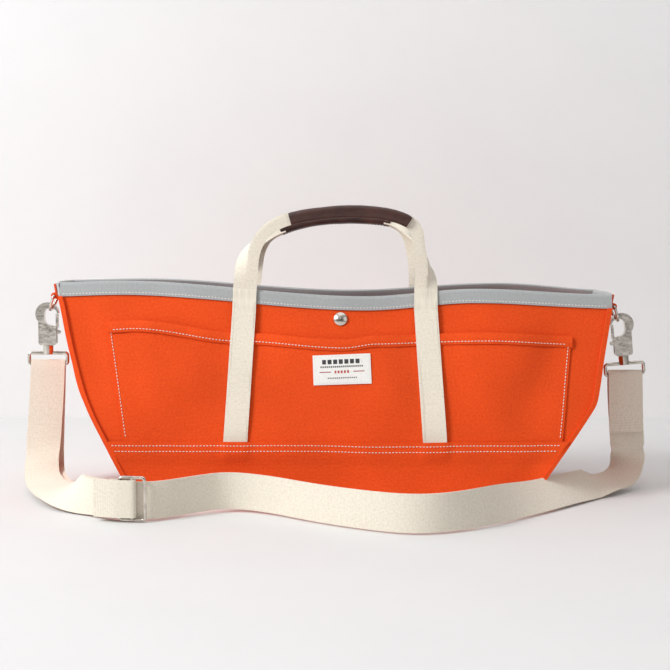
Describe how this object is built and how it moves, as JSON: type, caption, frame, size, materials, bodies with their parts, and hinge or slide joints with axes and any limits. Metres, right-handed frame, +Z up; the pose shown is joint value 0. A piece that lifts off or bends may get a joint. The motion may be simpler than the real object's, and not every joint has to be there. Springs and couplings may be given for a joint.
{
  "type": "open canvas tool bag",
  "caption": "Open-top canvas tool bag with outer pockets, folding webbing handles, a rim snap and a clip-on adjustable shoulder strap.",
  "frame": {"origin": "middle of the underside of the base, on the surface that the bag stands on", "axes": "+X along the bag's length, to the right seen from the front; the front with the label faces -Y; +Z up"},
  "size_m": [0.6957, 0.3418, 0.3168],
  "materials": {
    "canvas": "heavy cotton duck, matt",
    "binding": "woven grey tape",
    "webbing": "natural cotton webbing",
    "leather": "oiled leather, satin",
    "nickel": "polished nickel plate",
    "label": "woven satin label",
    "board": "stiff black board",
    "spring": "spring wire"
  },
  "bodies": {
    "bag": {"front_panel": "canvas", "back_panel": "canvas", "left_gusset": "canvas", "right_gusset": "canvas", "base_panel": "canvas", "base_board": "board", "base_band_front": "canvas", "base_band_back": "canvas", "base_band_bottom": "canvas", "rim_binding_front": "binding", "rim_binding_back": "binding", "rim_binding_left": "binding", "rim_binding_right": "binding", "front_left_seam": "canvas", "front_right_seam": "canvas", "back_left_seam": "canvas", "back_right_seam": "canvas", "front_pocket": "canvas", "back_pocket": "canvas", "woven_label": "label", "front_handle_leg_left": "webbing", "front_handle_leg_right": "webbing", "back_handle_leg_left": "webbing", "back_handle_leg_right": "webbing", "front_snap_cap": "nickel", "front_snap_socket": "nickel", "back_snap_cap": "nickel", "back_snap_stud": "nickel", "left_ring_tab": "canvas", "right_ring_tab": "canvas", "left_strap_loop": "nickel", "right_strap_loop": "nickel", "strap_left_drop": "webbing", "strap_left_return_drop": "webbing", "strap_left_turn": "webbing", "strap_left_return_turn": "webbing", "strap_front_run": "webbing", "strap_return_run": "webbing", "strap_right_turn": "webbing", "strap_right_sewn_end": "webbing", "strap_right_drop": "webbing"},
    "front_handle": {"front_handle_webbing": "webbing", "front_handle_grip": "leather"},
    "back_handle": {"back_handle_webbing": "webbing", "back_handle_grip": "leather"},
    "slide": {"strap_slide": "nickel", "strap_slide_wrap": "webbing"},
    "left_ring": {"left_d_ring": "nickel"},
    "left_hook": {"left_hook": "nickel", "left_hook_pin": "nickel", "left_hook_spring": "spring", "left_hook_swivel_stud": "nickel"},
    "left_gate": {"left_hook_gate": "nickel"},
    "right_ring": {"right_d_ring": "nickel"},
    "right_hook": {"right_hook": "nickel", "right_hook_pin": "nickel", "right_hook_spring": "spring", "right_hook_swivel_stud": "nickel"},
    "right_gate": {"right_hook_gate": "nickel"}
  },
  "joints": [
    {"name": "front_handle_fold", "type": "hinge", "parent": "bag", "child": "front_handle", "pos_m": [0, -0.04455, 0.224], "axis": [1, 0, 0], "range_deg": [-22, 110]},
    {"name": "back_handle_fold", "type": "hinge", "parent": "bag", "child": "back_handle", "pos_m": [0, 0.04455, 0.224], "axis": [-1, 0, 0], "range_deg": [-43, 89]},
    {"name": "left_ring_swing", "type": "hinge", "parent": "bag", "child": "left_ring", "pos_m": [-0.31267, 0, 0.217], "axis": [0, 1, 0], "range_deg": [-6, 2]},
    {"name": "right_ring_swing", "type": "hinge", "parent": "bag", "child": "right_ring", "pos_m": [0.31064, 0, 0.205], "axis": [0, 1, 0], "range_deg": [0, 3]},
    {"name": "left_hook_swivel", "type": "hinge", "parent": "bag", "child": "left_hook", "pos_m": [-0.32248, 0, 0.16], "axis": [0, 0, 1], "range_deg": [-8, 8]},
    {"name": "right_hook_swivel", "type": "hinge", "parent": "bag", "child": "right_hook", "pos_m": [0.32045, 0, 0.19713], "axis": [-0.0872, 0, 0.9962], "range_deg": [-5, 5]},
    {"name": "left_gate_open", "type": "hinge", "parent": "left_hook", "child": "left_gate", "pos_m": [-0.31848, 0, 0.17063], "axis": [0, -1, 0], "range_deg": [0, 18], "stiffness_Nm_per_rad": 0.02, "springref_deg": -22.92},
    {"name": "right_gate_open", "type": "hinge", "parent": "right_hook", "child": "right_gate", "pos_m": [0.31982, 0, 0.15842], "axis": [0, 1, 0], "range_deg": [0, 18], "stiffness_Nm_per_rad": 0.02, "springref_deg": -22.92},
    {"name": "strap_slide_travel", "type": "slide", "parent": "bag", "child": "slide", "axis": [0.9889, -0.1483, 0], "range_m": [0, 0.012]}
  ]
}
